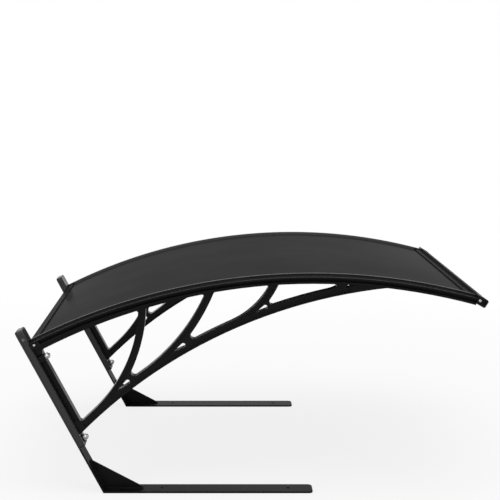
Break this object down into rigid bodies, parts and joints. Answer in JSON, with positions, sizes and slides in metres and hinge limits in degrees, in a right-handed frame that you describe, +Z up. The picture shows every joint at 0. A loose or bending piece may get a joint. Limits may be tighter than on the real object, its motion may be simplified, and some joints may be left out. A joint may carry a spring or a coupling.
{
  "type": "robot mower garage",
  "caption": "Open garage for a robot lawn mower: an arched dark roof sheet on two leaning steel stands with moulded strut brackets and flat feet.",
  "frame": {"origin": "on the floor under the middle of the whole garage", "axes": "+X towards the free front end of the roof, +Y to the left, +Z up"},
  "size_m": [1.0432, 0.77, 0.497],
  "materials": {
    "stand_steel": "matt black powder coat",
    "bracket_plastic": "moulded black, slightly satin",
    "rail_plastic": "extruded black, satin",
    "bar_aluminium": "black powder coat, satin",
    "roof_sheet": "dark grey solid polycarbonate, smooth",
    "seal_rubber": "dull black"
  },
  "bodies": {
    "root": {"foot_right": "stand_steel", "post_right": "stand_steel", "gusset_right": "stand_steel", "bracket_right": "bracket_plastic", "side_rail_right": "rail_plastic", "side_cover_right": "rail_plastic", "side_seal_right": "seal_rubber", "corner_cap_front_right": "bracket_plastic", "corner_cap_rear_right": "bracket_plastic", "foot_left": "stand_steel", "post_left": "stand_steel", "gusset_left": "stand_steel", "bracket_left": "bracket_plastic", "side_rail_left": "rail_plastic", "side_cover_left": "rail_plastic", "side_seal_left": "seal_rubber", "corner_cap_front_left": "bracket_plastic", "corner_cap_rear_left": "bracket_plastic", "roof_sheet": "roof_sheet", "front_rail": "bar_aluminium", "rear_rail": "bar_aluminium"}
  },
  "joints": []
}
